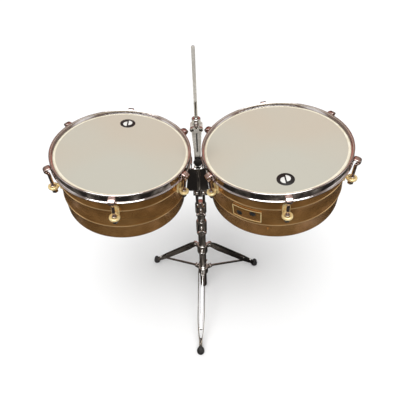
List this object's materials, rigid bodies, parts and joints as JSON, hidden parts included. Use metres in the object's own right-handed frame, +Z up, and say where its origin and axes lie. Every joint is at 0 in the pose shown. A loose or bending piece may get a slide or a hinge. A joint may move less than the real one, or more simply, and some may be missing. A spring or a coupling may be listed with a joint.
{
  "type": "timbales on a stand",
  "caption": "Pair of metal-shelled timbales with tension hooks, hung on a tilting yoke over a folding tripod stand with a cowbell post.",
  "frame": {"origin": "on the floor, under the middle of the whole object", "axes": "+Z up, -Y toward the player, +X to the player's right, where the larger drum hangs"},
  "size_m": [0.8191, 0.5079, 1.003],
  "materials": {
    "bronze": "aged satin bronze, brushed round the shell",
    "drum_chrome": "polished",
    "stand_chrome": "polished, slightly used",
    "drumhead": "smooth cream film",
    "rubber": "matte",
    "badge": "blank plate",
    "lug_gold": "polished gold plate, on the lugs"
  },
  "bodies": {
    "base": {"base_tube": "stand_chrome", "tube_plug": "rubber", "leg_collar": "stand_chrome", "height_clamp": "stand_chrome"},
    "hub": {"brace_hub": "stand_chrome"},
    "mast": {"upper_tube": "stand_chrome", "memory_lock": "stand_chrome", "tilter_socket": "stand_chrome"},
    "tilting_yoke": {"yoke": "stand_chrome", "tilt_bolt": "stand_chrome", "cowbell_arm": "stand_chrome"},
    "cowbell_post": {"cowbell_post": "stand_chrome"},
    "hub_wing_bolt": {"hub_wing_bolt": "stand_chrome"},
    "height_wing_bolt": {"height_wing_bolt": "stand_chrome"},
    "socket_wing_bolt": {"socket_wing_bolt": "stand_chrome"},
    "post_wing_bolt": {"post_wing_bolt": "stand_chrome"},
    "tilt_nut": {"tilt_nut": "stand_chrome"},
    "cowbell_arm_knob": {"cowbell_arm_knob": "stand_chrome"},
    "front_leg": {"front_leg": "stand_chrome", "front_foot": "rubber"},
    "front_brace": {"front_brace": "stand_chrome"},
    "right_leg": {"right_leg": "stand_chrome", "right_foot": "rubber"},
    "right_brace": {"right_brace": "stand_chrome"},
    "left_leg": {"left_leg": "stand_chrome", "left_foot": "rubber"},
    "left_brace": {"left_brace": "stand_chrome"},
    "left_drum": {"left_shell": "bronze", "left_rim": "drum_chrome", "left_head": "drumhead", "left_drum_bracket": "drum_chrome", "left_tension_hook_1": "drum_chrome", "left_tension_hook_2": "drum_chrome", "left_tension_hook_3": "drum_chrome", "left_tension_hook_4": "drum_chrome", "left_tension_hook_5": "drum_chrome", "left_tension_hook_6": "drum_chrome"},
    "left_nut_1": {"left_tension_nut_1": "drum_chrome"},
    "left_nut_2": {"left_tension_nut_2": "drum_chrome"},
    "left_nut_3": {"left_tension_nut_3": "drum_chrome"},
    "left_nut_4": {"left_tension_nut_4": "drum_chrome"},
    "left_nut_5": {"left_tension_nut_5": "drum_chrome"},
    "left_nut_6": {"left_tension_nut_6": "drum_chrome"},
    "right_drum": {"right_shell": "bronze", "right_rim": "drum_chrome", "right_head": "drumhead", "right_drum_bracket": "drum_chrome", "right_tension_hook_1": "drum_chrome", "right_tension_hook_2": "drum_chrome", "right_tension_hook_3": "drum_chrome", "right_tension_hook_4": "drum_chrome", "right_tension_hook_5": "drum_chrome", "right_tension_hook_6": "drum_chrome", "badge_plate": "badge"},
    "right_nut_1": {"right_tension_nut_1": "drum_chrome"},
    "right_nut_2": {"right_tension_nut_2": "drum_chrome"},
    "right_nut_3": {"right_tension_nut_3": "drum_chrome"},
    "right_nut_4": {"right_tension_nut_4": "drum_chrome"},
    "right_nut_5": {"right_tension_nut_5": "drum_chrome"},
    "right_nut_6": {"right_tension_nut_6": "drum_chrome"}
  },
  "joints": [
    {"name": "tripod_fold", "type": "hinge", "parent": "base", "child": "front_leg", "pos_m": [-0.00752, -0.00782, 0.296], "axis": [0.9974, -0.0715, 0], "range_deg": [0, 30]},
    {"name": "right_leg_fold", "type": "hinge", "parent": "base", "child": "right_leg", "pos_m": [0.02259, 0.03664, 0.296], "axis": [-0.4368, 0.8996, 0], "range_deg": [0, 30]},
    {"name": "left_leg_fold", "type": "hinge", "parent": "base", "child": "left_leg", "pos_m": [-0.03097, 0.04048, 0.296], "axis": [-0.5606, -0.8281, 0], "range_deg": [0, 30]},
    {"name": "hub_slide", "type": "slide", "parent": "base", "child": "hub", "axis": [0, 0, 1], "range_m": [0, 0.05]},
    {"name": "front_brace_fold", "type": "hinge", "parent": "hub", "child": "front_brace", "pos_m": [-0.00766, -0.00982, 0.153], "axis": [0.9974, -0.0715, 0], "range_deg": [0, 53]},
    {"name": "right_brace_fold", "type": "hinge", "parent": "hub", "child": "right_brace", "pos_m": [0.02439, 0.03751, 0.153], "axis": [-0.4368, 0.8996, 0], "range_deg": [0, 53]},
    {"name": "left_brace_fold", "type": "hinge", "parent": "hub", "child": "left_brace", "pos_m": [-0.03263, 0.0416, 0.153], "axis": [-0.5606, -0.8281, 0], "range_deg": [0, 53]},
    {"name": "height_slide", "type": "slide", "parent": "base", "child": "mast", "axis": [0, 0, 1], "range_m": [0, 0.19]},
    {"name": "drum_tilt", "type": "hinge", "parent": "mast", "child": "tilting_yoke", "pos_m": [-0.0053, 0.0231, 0.572], "axis": [1, 0, 0], "range_deg": [-24, 20]},
    {"name": "cowbell_post_slide", "type": "slide", "parent": "tilting_yoke", "child": "cowbell_post", "axis": [0, -0.0739, 0.9973], "range_m": [-0.08, 0.03]},
    {"name": "left_drum_lift", "type": "slide", "parent": "tilting_yoke", "child": "left_drum", "axis": [0.1246, -0.0734, 0.9895], "range_m": [0, 0.016]},
    {"name": "right_drum_lift", "type": "slide", "parent": "tilting_yoke", "child": "right_drum", "axis": [-0.1246, -0.0734, 0.9895], "range_m": [0, 0.016]},
    {"name": "hub_bolt_turn", "type": "hinge", "parent": "hub", "child": "hub_wing_bolt", "pos_m": [-0.00429, 0.03716, 0.153], "axis": [0.0715, 0.9974, 0], "continuous": true},
    {"name": "height_bolt_turn", "type": "hinge", "parent": "base", "child": "height_wing_bolt", "pos_m": [-0.0053, 0.0115, 0.424], "axis": [0, -1, 0], "continuous": true},
    {"name": "socket_bolt_turn", "type": "hinge", "parent": "mast", "child": "socket_wing_bolt", "pos_m": [-0.0053, 0.0115, 0.512], "axis": [0, -1, 0], "continuous": true},
    {"name": "post_bolt_turn", "type": "hinge", "parent": "tilting_yoke", "child": "post_wing_bolt", "pos_m": [-0.0083, -0.00324, 0.82725], "axis": [0, -0.9973, -0.0739], "continuous": true},
    {"name": "arm_knob_turn", "type": "hinge", "parent": "tilting_yoke", "child": "cowbell_arm_knob", "pos_m": [-0.0083, 0.00483, 0.71705], "axis": [0, -0.9973, -0.0739], "continuous": true},
    {"name": "tilt_nut_turn", "type": "hinge", "parent": "tilting_yoke", "child": "tilt_nut", "pos_m": [0.0101, 0.0231, 0.572], "axis": [1, 0, 0], "continuous": true},
    {"name": "left_nut_1_turn", "type": "hinge", "parent": "left_drum", "child": "left_nut_1", "pos_m": [-0.21345, -0.16671, 0.67132], "axis": [0.1246, -0.0734, 0.9895], "continuous": true},
    {"name": "left_nut_2_turn", "type": "hinge", "parent": "left_drum", "child": "left_nut_2", "pos_m": [-0.04823, -0.06341, 0.65817], "axis": [0.1246, -0.0734, 0.9895], "continuous": true},
    {"name": "left_nut_3_turn", "type": "hinge", "parent": "left_drum", "child": "left_nut_3", "pos_m": [-0.0533, 0.13124, 0.67324], "axis": [0.1246, -0.0734, 0.9895], "continuous": true},
    {"name": "left_nut_4_turn", "type": "hinge", "parent": "left_drum", "child": "left_nut_4", "pos_m": [-0.2236, 0.22259, 0.70146], "axis": [0.1246, -0.0734, 0.9895], "continuous": true},
    {"name": "left_nut_5_turn", "type": "hinge", "parent": "left_drum", "child": "left_nut_5", "pos_m": [-0.38882, 0.11929, 0.71462], "axis": [0.1246, -0.0734, 0.9895], "continuous": true},
    {"name": "left_nut_6_turn", "type": "hinge", "parent": "left_drum", "child": "left_nut_6", "pos_m": [-0.38375, -0.07536, 0.69955], "axis": [0.1246, -0.0734, 0.9895], "continuous": true},
    {"name": "right_nut_1_turn", "type": "hinge", "parent": "right_drum", "child": "right_nut_1", "pos_m": [0.20202, -0.17937, 0.67034], "axis": [-0.1246, -0.0734, 0.9895], "continuous": true},
    {"name": "right_nut_2_turn", "type": "hinge", "parent": "right_drum", "child": "right_nut_2", "pos_m": [0.38339, -0.08207, 0.7004], "axis": [-0.1246, -0.0734, 0.9895], "continuous": true},
    {"name": "right_nut_3_turn", "type": "hinge", "parent": "right_drum", "child": "right_nut_3", "pos_m": [0.3888, 0.12524, 0.71645], "axis": [-0.1246, -0.0734, 0.9895], "continuous": true},
    {"name": "right_nut_4_turn", "type": "hinge", "parent": "right_drum", "child": "right_nut_4", "pos_m": [0.21283, 0.23525, 0.70244], "axis": [-0.1246, -0.0734, 0.9895], "continuous": true},
    {"name": "right_nut_5_turn", "type": "hinge", "parent": "right_drum", "child": "right_nut_5", "pos_m": [0.03146, 0.13796, 0.67239], "axis": [-0.1246, -0.0734, 0.9895], "continuous": true},
    {"name": "right_nut_6_turn", "type": "hinge", "parent": "right_drum", "child": "right_nut_6", "pos_m": [0.02606, -0.06935, 0.65634], "axis": [-0.1246, -0.0734, 0.9895], "continuous": true}
  ],
  "couplings": [
    {"joint": "right_leg_fold", "follows": "tripod_fold", "ratio": 1},
    {"joint": "left_leg_fold", "follows": "tripod_fold", "ratio": 1},
    {"joint": "hub_slide", "follows": "tripod_fold", "m_per_rad": 0.093965},
    {"joint": "front_brace_fold", "follows": "tripod_fold", "ratio": 1.7567},
    {"joint": "right_brace_fold", "follows": "tripod_fold", "ratio": 1.7567},
    {"joint": "left_brace_fold", "follows": "tripod_fold", "ratio": 1.7567}
  ]
}
